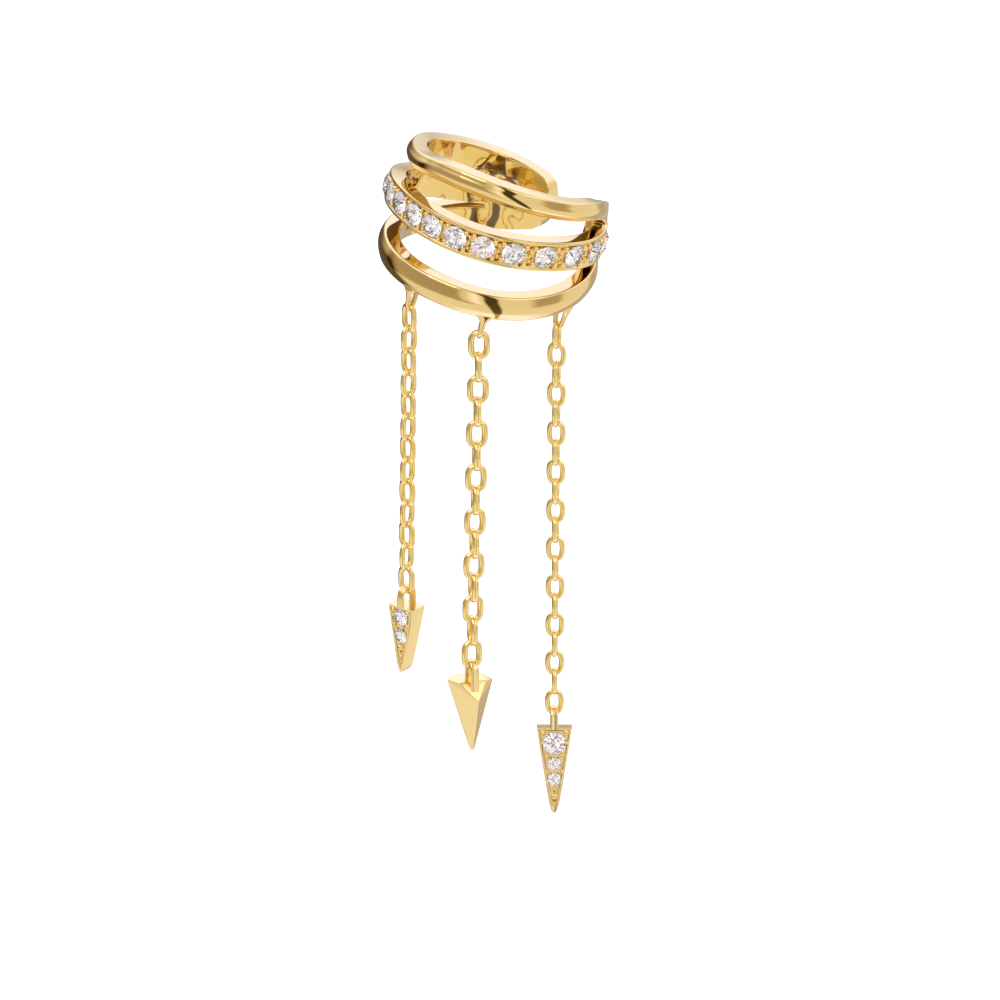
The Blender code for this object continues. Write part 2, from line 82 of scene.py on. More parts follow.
# angle, upper height, upper radius, middle height, middle radius, lower height, lower radius. Heights are
# shares of the fan, and radii of the cuff's radius.
BANDS = np.array((
    (9, 0.05, 0.945, -0.36, 0.990, -0.87, 0.980),
    (0, 0.17, 0.940, -0.32, 0.995, -0.89, 0.980),
    (-10, 0.31, 0.940, -0.27, 1.000, -0.91, 0.980),
    (-25, 0.50, 0.935, -0.18, 1.000, -0.92, 0.980),
    (-50, 0.67, 0.925, -0.06, 1.000, -0.98, 0.975),
    (-75, 0.82, 0.910, 0.00, 1.000, -1.04, 0.965),
    (-100, 0.91, 0.890, 0.03, 1.000, -1.04, 0.955),
    (-120, 0.91, 0.870, 0.05, 1.000, -1.03, 0.945),
    (-140, 0.84, 0.855, 0.05, 1.000, -1.05, 0.940),
    (-160, 0.67, 0.850, 0.03, 1.000, -1.07, 0.935),
    (-180, 0.56, 0.855, -0.08, 0.990, -1.09, 0.930),
    (-205, 0.42, 0.875, -0.30, 0.975, -1.13, 0.930),
    (-228, 0.24, 0.900, -0.49, 0.960, -1.17, 0.930),
    (-245, 0.10, 0.915, -0.57, 0.950, -1.17, 0.935),
    (-262, 0.00, 0.925, -0.59, 0.945, -1.14, 0.940),
    (-276, -0.08, 0.940, -0.59, 0.945, -1.07, 0.940),
    (-292, -0.16, 0.945, -0.57, 0.945, -0.98, 0.945),
    (-308, -0.30, 0.950, -0.54, 0.950, -0.74, 0.950),
))[::-1]
EYELETS = {"left": -134, "middle": -88.5, "right": -38}
EYELET_REACH = 1.32 * MM
DRIP_HALF, DRIP_BEND, DRIP_SIDES = 0.15 * MM, 0.17 * MM, 8
ROUNDING = 2  # levels of subdivision on what is cast or soldered


def around(angle, radius, height):
    turn = math.radians(angle)
    return Vector((radius * math.cos(turn), radius * math.sin(turn), height))


def band_value(column, angle):
    near = angle + np.linspace(-SMOOTHING, SMOOTHING, 7)
    return float(np.interp(near, BANDS[:, 0], BANDS[:, column]).mean())


def smoothstep(value):
    value = min(max(value, 0.0), 1.0)
    return value * value * (3 - 2 * value)


def merge(angle):
    """How far the bands have run together into the bar or the plate, from 0 to 1."""
    return smoothstep((angle - BAR_START) / BAR_SPAN) + smoothstep((PLATE_START - angle) / PLATE_SPAN)


def corner_cut(angle):
    """How far a rounded corner takes the height in, near either end of the cuff."""
    arc = math.radians(min(CUFF_START - angle, angle - CUFF_END)) * CUFF_RADIUS
    return CORNER * (1 - math.sqrt(1 - (1 - min(arc / CORNER, 1.0)) ** 2))


def band(index, angle):
    """(top, bottom, radius) of the upper, middle or lower band."""
    middle = band_value(1 + 2 * index, angle) * FAN
    half = FACES[index] / 2
    return middle + half, middle - half, band_value(2 + 2 * index, angle) * CUFF_RADIUS


def slot_edges(index, angle):
    """(upper edge, lower edge, how far closed) of the slot under band number index at this angle."""
    start, end = SLOTS[index]
    high, low = band(index, angle)[1], band(index + 1, angle)[0]
    reach = min(start - angle, angle - end) / SLOT_END
    centre, half = (high + low) / 2, max(high - low, 2 * SEAM) / 2
    if reach <= 0:
        beyond = -reach * SLOT_END / CLOSING
        return centre + SEAM, centre - SEAM, smoothstep(beyond)
    share = max(math.sqrt(1 - (1 - min(reach, 1)) ** 2), SLOT_TIP)
    half = max(half * share, SEAM)
    return centre + half, centre - half, 0.0


def profile(index, face):
    """(share of the face from the top, stand) for each of a band's rows. The first and last are its edges."""
    if index == 1:
        step, rail, edge = (RAIL + RAIL_SLOPE) / face, RAIL / face, RAIL_EDGE / face
        half = ((0, -RAIL_EDGE), (edge, 0), (rail, 0), (step, -CHANNEL_DEPTH))
    else:
        edge = SOFT_EDGE / face
        half = ((0, -SOFT_EDGE), (edge, 0), (3 * edge, 0.30 * DOME), (0.37, DOME))
    return half + tuple((1 - share, stand) for share, stand in half[::-1])


def section(angle):
    """(outer points, inner points) down the wall at this angle, for each band's rows in turn."""
    bands = [band(index, angle) for index in range(3)]
    upper_slot, lower_slot = slot_edges(0, angle), slot_edges(1, angle)
    tops = (bands[0][0], upper_slot[1], lower_slot[1])
    bottoms = (upper_slot[0], lower_slot[0], bands[2][1])
    closed = ((0, upper_slot[2]), (upper_slot[2], lower_slot[2]), (lower_slot[2], 0))
    one = merge(angle)
    high, low = tops[0], bottoms[2]
    joined_radius = sum(part[2] for part in bands) / 3
    squeeze = 1 - 2 * corner_cut(angle) / (high - low)
    centre = (high + low) / 2
    outer, inner = [], []
    for index, (top, bottom, (_, _, radius)) in enumerate(zip(tops, bottoms, bands)):
        edge = RAIL_EDGE if index == 1 else SOFT_EDGE
        for row, (share, stand) in enumerate(profile(index, FACES[index])):
            height = top - share * (top - bottom)
            level = (high - height) / (high - low)
            joined = joined_radius + DOME * smoothstep(min(level, 1 - level) / JOINED_DOME)
            belly = BELLY * (1 - (2 * share - 1) ** 2) * (1 - one)
            belly += 2 * BELLY * (1 - (2 * level - 1) ** 2) * one
            tuck = 0
            if row in (0, ROWS - 1):
                tuck = edge * (1 - closed[index][row == ROWS - 1])
                stand = 0
            out = radius + stand + one * (joined - radius - stand) - tuck
            back = radius - WALL + one * (joined_radius - radius) / 2 - belly + BACK_TUCK * tuck
            squeezed = centre + squeeze * (height - centre)
            outer.append(around(angle, out, squeezed))
            inner.append(around(angle, back, squeezed))
    return outer, inner


def cuff_cage(bm):
    """The casting's cage of quads, which closes round both slots."""
    angles = [*NEAR_BAR, *ALONG_BANDS, *NEAR_PLATE]
    sections = [section(angle) for angle in angles]
    made = {}

    def vert(k, row, depth):
        """The vertex at this station and row, from 0 on the outside to 3 on the inside."""
        if (k, row, depth) not in made:
            out, into = sections[k][0][row], sections[k][1][row]
            share = (0, EDGE_LOOP / WALL, 1 - EDGE_LOOP / WALL, 1)[depth]
            made[k, row, depth] = bm.verts.new(TILT @ out.lerp(into, share))
        return made[k, row, depth]

    def across(near, far):
        """A strip of wall from the outside to the inside, between two places."""
        for depth in range(3):
            deeper = depth + 1
            bm.faces.new((vert(*near, depth), vert(*far, depth), vert(*far, deeper), vert(*near, deeper)))

    breaks = {ROWS - 1: SLOTS[0], 2 * ROWS - 1: SLOTS[1]}
    no_slot = (-math.inf, math.inf)
    channel = range(ROWS + 1, 2 * ROWS - 2)
    last, end = 3 * ROWS - 1, len(angles) - 1
    for k in range(end):
        for row in range(last):
            start, stop = breaks.get(row, no_slot)
            if start >= angles[k] and angles[k + 1] >= stop:
                across((k, row), (k + 1, row))
                across((k, row + 1), (k + 1, row + 1))
                continue
            for depth in (0, 3):
                face = bm.faces.new((
                    vert(k, row, depth), vert(k, row + 1, depth),
                    vert(k + 1, row + 1, depth), vert(k + 1, row, depth),
                ))
                # the inner wall takes the second material, whose deeper orange is painted bounce light, and
                # the channel's floor the satin third
                face.material_index = 1 if depth == 3 else 2 * (row in channel)
        across((k, 0), (k + 1, 0))
        across((k, last), (k + 1, last))
    for row, ends in breaks.items():
        for place in ends:
            across((angles.index(place), row), (angles.index(place), row + 1))
    for k in (0, end):
        for row in range(last):
            across((k, row), (k, row + 1))


def ring_loft(bm, rings):
    """Quads through rings with the same number of points, with a face over each end."""
    rows = [[bm.verts.new(point) for point in ring] for ring in rings]
    for near, far in zip(rows, rows[1:]):
        for i in range(len(near)):
            bm.faces.new((near[i - 1], near[i], far[i], far[i - 1]))
    bm.faces.new(rows[0])
    bm.faces.new(rows[-1][::-1])


def eyelet(bm, angle):
    """A drip of metal from the band's outer face that thins to a wire and comes back up behind."""
    low, edge = band(2, angle)[1], band(2, angle)[2]
    half = DRIP_HALF
    outer, inner = edge - 0.10 * MM, edge - WALL + half
    middle = (outer + inner) / 2
    # radius, height under the band's edge as a share of the reach, half width, half thickness
    path = (
        (outer, -0.30, 0.75 * MM, 0.05 * MM), (outer + 0.03 * MM, -0.12, 0.62 * MM, 0.12 * MM),
        (outer + 0.02 * MM, 0.04, 0.34 * MM, 0.15 * MM), (outer - 0.02 * MM, 0.18, 0.20 * MM, 0.15 * MM),
        (outer - 0.08 * MM, 0.50, 0.16 * MM, 0.15 * MM), (middle + DRIP_BEND, 0.86, half, half),
        (middle, 1.0, half, half), (middle - DRIP_BEND, 0.86, half, half), (inner, 0.45, half, half),
        (inner, 0.0, half, half), (inner, -0.3, half, half),
    )
    along = Matrix.Rotation(math.radians(angle), 4, "Z")
    rings = []
    for i, (radius, share, width, thick) in enumerate(path):
        before, after = path[max(i - 1, 0)], path[min(i + 1, len(path) - 1)]
        run = Vector((after[0] - before[0], 0, (before[1] - after[1]) * EYELET_REACH)).normalized()
        side = Vector((run.z, 0, -run.x))
        centre = Vector((radius, 0, low - share * EYELET_REACH))
        ring = []
        for j in range(DRIP_SIDES):
            turn = 2 * math.pi * (j + 0.5) / DRIP_SIDES
            ring.append(centre + side * thick * math.cos(turn) + Vector((0, width * math.sin(turn), 0)))
        rings.append([TILT @ along @ p for p in ring])
    ring_loft(bm, rings)


# The casting's finishes share one group: slow waves bend the reflections as on a cast surface, and a fine
# grain varies the polish.
WAVE_SCALE, FINE_SCALE = 420.0, 9000.0
FINE_DEPTH = 0.004 * MM
POLISH_SPREAD, POLISH_LEAST = 0.5, 0.75
COAT, COAT_IOR, COAT_POLISH = 0.8, 1.7, 0.5


def node(tree, kind, inputs=(), **settings):
    """A node with these settings, its inputs linked or set."""
    made = tree.nodes.new(kind)
    for key, value in settings.items():
        setattr(made, key, value)
    for key, value in dict(inputs).items():
        if isinstance(value, bpy.types.NodeSocket):
            tree.links.new(value, made.inputs[key])
        else:
            made.inputs[key].default_value = value
    return made


def maths(tree, operation, *values):
    return node(tree, "ShaderNodeMath", dict(enumerate(values)), operation=operation).outputs[0]


def finish_group():
    group = bpy.data.node_groups.new("metal_finish", "ShaderNodeTree")
    for name in ("Roughness", "Wave", "Grain"):
        group.interface.new_socket(name, in_out="INPUT", socket_type="NodeSocketFloat")
    group.interface.new_socket("Roughness", in_out="OUTPUT", socket_type="NodeSocketFloat")
    group.interface.new_socket("Normal", in_out="OUTPUT", socket_type="NodeSocketVector")
    source = node(group, "NodeGroupInput")
    place = node(group, "ShaderNodeTexCoord").outputs["Object"]
    slow = node(group, "ShaderNodeTexNoise", {"Vector": place, "Scale": WAVE_SCALE, "Detail": 1.0})
    fine = node(group, "ShaderNodeTexNoise", {"Vector": place, "Scale": FINE_SCALE, "Detail": 3.0})
    spread = maths(group, "MULTIPLY_ADD", fine.outputs[0], POLISH_SPREAD, POLISH_LEAST)
    rough = maths(group, "MULTIPLY", source.outputs["Roughness"], spread)
    swell = maths(group, "MULTIPLY", source.outputs["Wave"], MM)
    wave = node(group, "ShaderNodeBump", {"Strength": 1.0, "Distance": swell, "Height": slow.outputs[0]})
    grain = node(group, "ShaderNodeBump", {
        "Strength": source.outputs["Grain"], "Distance": FINE_DEPTH, "Height": fine.outputs[0],
        "Normal": wave.outputs[0],
    })
    node(group, "NodeGroupOutput", {"Roughness": rough, "Normal": grain.outputs[0]})
    return group


FINISH = finish_group()


def gold(name, colour, roughness, wave, grain):
    """Plated gold: its colour, its roughness, the depth of its waves in mm and the strength of its grain."""
    material = bpy.data.materials.new(name)
    material.use_nodes = True
    tree = material.node_tree
    shader = tree.nodes["Principled BSDF"]
    shader.inputs["Metallic"].default_value = 1.0
    shader.inputs["Base Color"].default_value = (*colour, 1)
    shader.inputs["Coat Weight"].default_value = COAT
    shader.inputs["Coat IOR"].default_value = COAT_IOR
    shader.inputs["Coat Roughness"].default_value = COAT_POLISH * roughness
    group = node(tree, "ShaderNodeGroup", node_tree=FINISH)
    for key, value in (("Roughness", roughness), ("Wave", wave), ("Grain", grain)):
        group.inputs[key].default_value = value
    tree.links.new(group.outputs["Roughness"], shader.inputs["Roughness"])
    tree.links.new(group.outputs["Normal"], shader.inputs["Normal"])
    return material


POLISHED = gold("gold_polished", (0.84, 0.61, 0.22), 0.06, 0.03, 0.03)
# The inner wall is the same plated gold. Its deeper, more orange colour is painted bounce light, standing in
# for the light that the inner walls throw at each other. Its stronger waves and grain are the cast surface's
# own.
INSIDE_PAINTED_BOUNCE = gold("gold_inside_painted_bounce", (0.87, 0.61, 0.17), 0.05, 0.60, 0.10)
SATIN = gold("gold_satin", (0.95, 0.71, 0.25), 0.34, 0.02, 0.40)


def plain_mesh(obj):
    """Turns the object's modifiers into mesh, and leaves it with none."""
    graph = bpy.context.evaluated_depsgraph_get()
    mesh = bpy.data.meshes.new_from_object(obj.evaluated_get(graph))
    obj.modifiers.clear()
    obj.data = mesh
    mesh.shade_smooth()
    return obj


def declare(obj, body, replaces):
    """Says what the piece moves with and which nodes it stands for, and hides those nodes."""
    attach(obj, body)
    if replaces:
        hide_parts(*replaces)


def mesh_of(name, bm):
    mesh = bpy.data.meshes.new(name)
    bm.to_mesh(mesh)
    bm.free()
    return mesh


def in_scene(name, data):
    obj = bpy.data.objects.new(name, data)
    bpy.context.scene.collection.objects.link(obj)
    return obj


def piece(name, bm, materials, body=None, levels=0, sharp=None):
    """A gold piece from a bmesh: subdivided, smooth but for edges over the sharp angle, and declared."""
    bmesh.ops.recalc_face_normals(bm, faces=bm.faces)
    mesh = mesh_of(name, bm)
    for material in materials:
        mesh.materials.append(material)
    obj = in_scene(name, mesh)
    mesh.shade_smooth()
    if levels:
        modifier = obj.modifiers.new("smooth", "SUBSURF")
        modifier.levels = modifier.render_levels = levels
        plain_mesh(obj)
    if sharp:
        obj.data.set_sharp_from_angle(angle=math.radians(sharp))
    if body:
        declare(obj, body, ())
    return obj


def join_or_cut(obj, bm, operation, sharp):
    """Joins a bmesh to a finished piece or cuts it out, and keeps edges over this angle sharp."""
    bmesh.ops.recalc_face_normals(bm, faces=bm.faces)
    tool = in_scene("tool", mesh_of("tool", bm))
    modifier = obj.modifiers.new("shape", "BOOLEAN")
    modifier.operation = operation
    modifier.solver = "MANIFOLD"
    modifier.object = tool
    plain_mesh(obj)
    obj.data.set_sharp_from_angle(angle=math.radians(sharp))
    bpy.data.objects.remove(tool)


CUFF_SHARP = 38
bm = bmesh.new()
cuff_cage(bm)
cuff = piece("cuff_casting", bm, [POLISHED, INSIDE_PAINTED_BOUNCE, SATIN], levels=ROUNDING)
for angle in EYELETS.values():
    bm = bmesh.new()
    eyelet(bm, angle)
    drip = piece("drip", bm, [POLISHED], levels=ROUNDING)
    bm = bmesh.new()
    bm.from_mesh(drip.data)
    bpy.data.objects.remove(drip)
    join_or_cut(cuff, bm, "UNION", CUFF_SHARP)

# The seats for the stones, and the pits that the graver leaves between them.
BAND_STONE = 1.24 * MM
BAND_STONE_ANGLES = (-7, -27, -46, -64.5, -82, -98, -113, -127, -140, -153, -166, -180, -195, -210)
GIRDLE_SINK = 0.03 * MM
# radius and height of the seat's rings, as shares of the stone's radius
SEAT_HOLE, SEAT_LEDGE, SEAT_MOUTH = (0.42, -0.75), (1.04, -0.06), (1.04, 1.2)
SEAT_SIDES = 28
# the same of the graver's cone, as shares of the pit's radius
GRAVER = ((0.35, -1.7), (1.0, 0), (1.0, 2.0))
GRAVER_SIDES = 10


def cone(bm, place, radius, sizes, sides):
    """A cutter through rings of these (radius, height), the radii as shares of this radius."""
    turns = [2 * math.pi * i / sides for i in range(sides)]
    ring_loft(bm, [
        [place @ Vector((size * radius * math.cos(t), size * radius * math.sin(t), height)) for t in turns]
        for size, height in sizes
    ])


def seat(bm, place, radius, through):
    """The cutter for a stone's seat: round at the girdle, then a cone and a hole of this length."""
    bottom = (SEAT_HOLE[0], SEAT_HOLE[1] * radius - through)
    rest = [(size, height * radius) for size, height in (SEAT_HOLE, SEAT_LEDGE, SEAT_MOUTH)]
    cone(bm, place, radius, [bottom, *rest], SEAT_SIDES)


def band_place(angle, height=0.0, stand=0.0):
    """The place on the middle band at this angle, height over its centre line and stand over its rails."""
    top, bottom, radius = band(1, angle)
    place = Matrix.Translation(around(angle, radius + stand, (top + bottom) / 2 + height))
    return TILT @ place @ Matrix.Rotation(math.radians(angle), 4, "Z") @ Matrix.Rotation(math.pi / 2, 4, "Y")


def graver_cuts(places):
    """The cutter for the pits that the graver leaves beside the grains, at (place, radius) pairs."""
    bm = bmesh.new()
    for place, radius in places:
        cone(bm, place, radius, [(size, height * radius) for size, height in GRAVER], GRAVER_SIDES)
    return bm


# each pair of neighbours, and the width between them
gaps = [
    (near, far, math.radians(near - far) * CUFF_RADIUS - BAND_STONE)
    for near, far in zip(BAND_STONE_ANGLES, BAND_STONE_ANGLES[1:])
]
WIDE_GAP = 0.26 * MM
PIT = 0.09 * MM
# share of the way to the next stone, height over the band's centre line
PITS = ((0.5, -0.50 * MM), (0.5, 0.50 * MM))
MORE_PITS = ((0.43, -0.16 * MM), (0.57, 0.17 * MM), (0.25, 0.57 * MM), (0.75, -0.57 * MM))

bm = bmesh.new()
for angle in BAND_STONE_ANGLES:
    seat(bm, band_place(angle, 0, -GIRDLE_SINK), BAND_STONE / 2, WALL)
join_or_cut(cuff, bm, "DIFFERENCE", CUFF_SHARP)
join_or_cut(cuff, graver_cuts([
    (band_place(near + share * (far - near), height, -CHANNEL_DEPTH), PIT)
    for near, far, gap in gaps for share, height in PITS + (MORE_PITS if gap > WIDE_GAP else ())
]), "DIFFERENCE", CUFF_SHARP)
declare(cuff, "cuff", ["cuff_frame"])

# The band's stones: fourteen brilliants of clear zirconia, with a table, star, kite and girdle facets over
# a full pavilion. Each sits in its seat with the girdle just under the rails, under the grains.
STONE_IOR = 1.75
TINT_SCALE = 1900.0
# where in the noise each tint stands, and its colour: a cold white and a faint rose
STONE_TINTS = ((0.35, (0.94, 0.95, 0.98, 1)), (0.65, (0.97, 0.91, 0.88, 1)))
# the pavilion's glow, a painted light that brightens the stones though they hold no lamp, and its roughness
PAVILION_PAINTED_GLOW, PAVILION_ROUGHNESS = 0.05, 0.02
# corners, radius, height and turn of each ring on a stone of radius 1: table, crown, girdle twice, pavilion
CUT = ((8, 0.56, 0.33, 0.5), (8, 0.80, 0.204, 0), (16, 1, 0.02, 0), (16, 1, -0.03, 0), (8, 0.25, -0.691, 0))
CULET = -0.89
ONE_FACET = math.radians(1.5)  # faces that turn less than this are one facet
PAVILION_TOP = -0.05


def stone_top():
    """The crown: clear."""
    material = bpy.data.materials.new("stone_crown")
    material.use_nodes = True
    shader = material.node_tree.nodes["Principled BSDF"]
    for key, value in (
        ("Base Color", (1, 1, 1, 1)), ("Roughness", 0.0), ("IOR", STONE_IOR), ("Transmission Weight", 1.0),
    ):
        shader.inputs[key].default_value = value
    return material


def stone_back():
    """The pavilion: its facets return the light as a mirror does, as total reflection would, and glow faintly
    in their tint, a painted light that brightens the stones.
    """
    material = bpy.data.materials.new("stone_pavilion")
    material.use_nodes = True
    tree = material.node_tree
    shader = tree.nodes["Principled BSDF"]
    place = node(tree, "ShaderNodeTexCoord").outputs["Object"]
    tint = node(tree, "ShaderNodeTexNoise", {"Vector": place, "Scale": TINT_SCALE, "Detail": 0.0})
    ramp = node(tree, "ShaderNodeValToRGB", {"Fac": tint.outputs[0]})
    for element, (position, colour) in zip(ramp.color_ramp.elements, STONE_TINTS):
        element.position, element.color = position, colour
    tree.links.new(ramp.outputs[0], shader.inputs["Base Color"])
    # the tint also colours the pavilion's glow, which is painted light
    tree.links.new(ramp.outputs[0], shader.inputs["Emission Color"])
    shader.inputs["Emission Strength"].default_value = PAVILION_PAINTED_GLOW
    shader.inputs["Metallic"].default_value = 1.0
    shader.inputs["Roughness"].default_value = PAVILION_ROUGHNESS
    return material


CROWN = stone_top()
PAVILION = stone_back()


def brilliant():
    """A cut stone of radius 1 with its girdle at the origin. Its attribute marks the pavilion."""
    points = []
    for count, size, height, turn in CUT:
        angles = [2 * math.pi * (i + turn) / count for i in range(count)]
        points += [Vector((size * math.cos(a), size * math.sin(a), height)) for a in angles]
    points.append(Vector((0, 0, CULET)))
    bm = bmesh.new()
    verts = [bm.verts.new(point) for point in points]
    bmesh.ops.convex_hull(bm, input=verts)
    bmesh.ops.dissolve_limit(bm, angle_limit=ONE_FACET, verts=bm.verts, edges=bm.edges)
    below = bm.faces.layers.int.new("pavilion")
    for face in bm.faces:
        face[below] = int(face.calc_center_median().z < PAVILION_TOP)
    return bpy.data.objects.new("cut_stone", mesh_of("cut_stone", bm))


def tree_with_inputs(name, sockets):
    """A Geometry Nodes tree with these named inputs. Returns the tree, its inputs' sockets and its output."""
    tree = bpy.data.node_groups.new(name, "GeometryNodeTree")
    tree.interface.new_socket("Geometry", in_out="INPUT", socket_type="NodeSocketGeometry")
    tree.interface.new_socket("Geometry", in_out="OUTPUT", socket_type="NodeSocketGeometry")
    for label, kind in sockets:
        tree.interface.new_socket(label, in_out="INPUT", socket_type=f"NodeSocket{kind}")
    return tree, node(tree, "NodeGroupInput").outputs, node(tree, "NodeGroupOutput")


def grown(name, mesh, tree, values):
    """An object made by a Geometry Nodes tree from this mesh and these values, turned into a plain mesh."""
    obj = in_scene(name, mesh)
    modifier = obj.modifiers.new(tree.name, "NODES")
    modifier.node_group = tree
    for item in tree.interface.items_tree:
        if item.name in values:
            modifier[item.identifier] = values[item.name]
    return plain_mesh(obj)


def set_out_tree():
    """One piece at each vertex, turned and sized by its attributes, with a second material where marked."""
    tree, given, out = tree_with_inputs("set_out", (
        ("Piece", "Object"), ("Material", "Material"), ("Marked Material", "Material"), ("Smooth", "Bool"),
    ))
    shape = node(tree, "GeometryNodeObjectInfo", {"Object": given["Piece"]})
    turn = node(tree, "GeometryNodeInputNamedAttribute", {"Name": "turn"}, data_type="FLOAT_VECTOR")
    size = node(tree, "GeometryNodeInputNamedAttribute", {"Name": "size"}, data_type="FLOAT")
    marked = node(tree, "GeometryNodeInputNamedAttribute", {"Name": "pavilion"}, data_type="INT")
    placed = node(tree, "GeometryNodeInstanceOnPoints", {
        "Points": given["Geometry"], "Instance": shape.outputs["Geometry"],
        "Rotation": turn.outputs["Attribute"], "Scale": size.outputs["Attribute"],
    })
    real = node(tree, "GeometryNodeRealizeInstances", {"Geometry": placed.outputs[0]})
    shaded = node(tree, "GeometryNodeSetShadeSmooth", {
        "Geometry": real.outputs[0], "Shade Smooth": given["Smooth"],
    })
    first = node(tree, "GeometryNodeSetMaterial", {
        "Geometry": shaded.outputs[0], "Material": given["Material"],
    })
    second = node(tree, "GeometryNodeSetMaterial", {
        "Geometry": first.outputs[0], "Selection": marked.outputs["Attribute"],
        "Material": given["Marked Material"],
    })
    tree.links.new(second.outputs[0], out.inputs[0])
    return tree


SET_OUT = set_out_tree()
CUT_STONE = brilliant()


def set_out(name, places, values):
    """An object with a piece at each (place, radius) pair."""
    mesh = bpy.data.meshes.new(name)
    mesh.from_pydata([place.translation for place, _ in places], [], [])
    mesh.attributes.new("turn", "FLOAT_VECTOR", "POINT").data.foreach_set(
        "vector", [angle for place, _ in places for angle in place.to_euler()]
    )
    sizes = [radius for _, radius in places]
    mesh.attributes.new("size", "FLOAT", "POINT").data.foreach_set("value", sizes)
    return grown(name, mesh, SET_OUT, values)


def stones(name, places, body, nodes):
    """One piece of cut stones. Its facets stay flat."""
    obj = set_out(name, places, {
        "Piece": CUT_STONE, "Material": CROWN, "Marked Material": PAVILION, "Smooth": False,
    })
    obj.data.shade_flat()
    declare(obj, body, nodes)


stones(
    "band_stones_cut", [(band_place(a, 0, -GIRDLE_SINK), BAND_STONE / 2) for a in BAND_STONE_ANGLES], "cuff",
    [f"band_stone_{i + 1:02d}" for i in range(len(BAND_STONE_ANGLES))],
)

# The grains: beads of gold that the graver raises from the channel's floor, which hold the stones at their
# corners. The cuts that raise them leave the pits beside them.
GRAINED = gold("gold_grains", (0.97, 0.73, 0.26), 0.10, 0.02, 0.10)
# radius, stand over the rails, and heights over the band's centre line. Small grains fill the wide gaps.
GRAIN, GRAIN_STAND, GRAIN_HEIGHTS = 0.15 * MM, -0.07 * MM, (-0.44 * MM, 0.44 * MM)
SMALL_GRAIN, SMALL_STAND, SMALL_HEIGHTS = 0.11 * MM, -0.09 * MM, (-0.30 * MM, 0.02 * MM, 0.33 * MM)
GRAIN_SHARES = (0.36, 0.64)  # of the way to the next stone
bm = bmesh.new()
bmesh.ops.create_icosphere(bm, subdivisions=2, radius=1)
ONE_GRAIN = bpy.data.objects.new("grain", mesh_of("grain", bm))


def grains(name, places, body):
    """One piece of round grains at (place, radius) pairs."""
    obj = set_out(name, places, {"Piece": ONE_GRAIN, "Material": GRAINED, "Smooth": True})
    declare(obj, body, ())


grains("band_grains", [
    (band_place(near + share * (far - near), height, GRAIN_STAND), GRAIN)
    for near, far, _ in gaps for height in GRAIN_HEIGHTS for share in GRAIN_SHARES
] + [
    (band_place((near + far) / 2, height, SMALL_STAND), SMALL_GRAIN)
    for near, far, gap in gaps if gap > WIDE_GAP for height in SMALL_HEIGHTS
], "cuff")

# The chains: three cable chains of gold-plated round wire, a little flattened. Each link is turned a quarter
# from the last, the first one hangs in its eyelet, and the last one, a little lower, carries a spike.
CHAIN_GOLD = gold("gold_chain", (0.97, 0.73, 0.26), 0.13, 0.02, 0.08)
EYELET_WIRE, LINK_WIRE, LINK_GRIP, LINK_GAP = 0.28 * MM, 0.24 * MM, 0.06 * MM, 0.05 * MM
# name, links, pitch, link width, yaw of the first link, yaw of the last link, lean
CHAINS = (
    ("left", 13, 1.216 * MM, 1.00 * MM, 131, 142, 0.9),
    ("middle", 15, 1.236 * MM, 1.10 * MM, 0, 20, 1.3),
    ("right", 20, 1.091 * MM, 0.96 * MM, 72, 0, 0.15),
)
# the wire's width in the link's plane, its depth, and how oval the link is: 0 for straight sides
WIRES = {
    "left": (0.34 * MM, 0.32 * MM, 0.2), "middle": (0.34 * MM, 0.37 * MM, 0.12),
    "right": (0.29 * MM, 0.29 * MM, 0.5),
}
WIRE_SIDES, LINK_SIDES = 12, 24
FULLER, TALLER = 0.06 * MM, 0.02 * MM  # what the thicker wire adds to a link's width and height
QUARTER = 90


